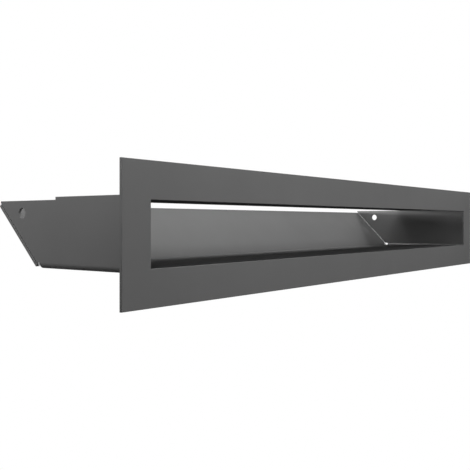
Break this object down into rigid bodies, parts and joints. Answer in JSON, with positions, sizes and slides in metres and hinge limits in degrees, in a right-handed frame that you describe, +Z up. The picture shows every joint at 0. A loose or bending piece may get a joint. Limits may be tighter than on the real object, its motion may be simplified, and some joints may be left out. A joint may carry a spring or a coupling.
{
  "type": "ventilation grille",
  "caption": "Wall grille: a flat frame round a long slot, with a folded sheet duct behind it whose sloped rear wall turns the air between the slot and the open top.",
  "frame": {"origin": "Middle of the frame's wall side, in the plane that bears on the wall", "axes": "+X along the slot, +Y into the wall, +Z up"},
  "size_m": [0.6, 0.1494, 0.09],
  "materials": {
    "graphite_powder_coat": "satin graphite powder coat with a fine even grain"
  },
  "bodies": {
    "root": {"front_frame": "graphite_powder_coat", "duct_body": "graphite_powder_coat", "top_plate": "graphite_powder_coat", "weld_stitches": "graphite_powder_coat"}
  },
  "joints": []
}
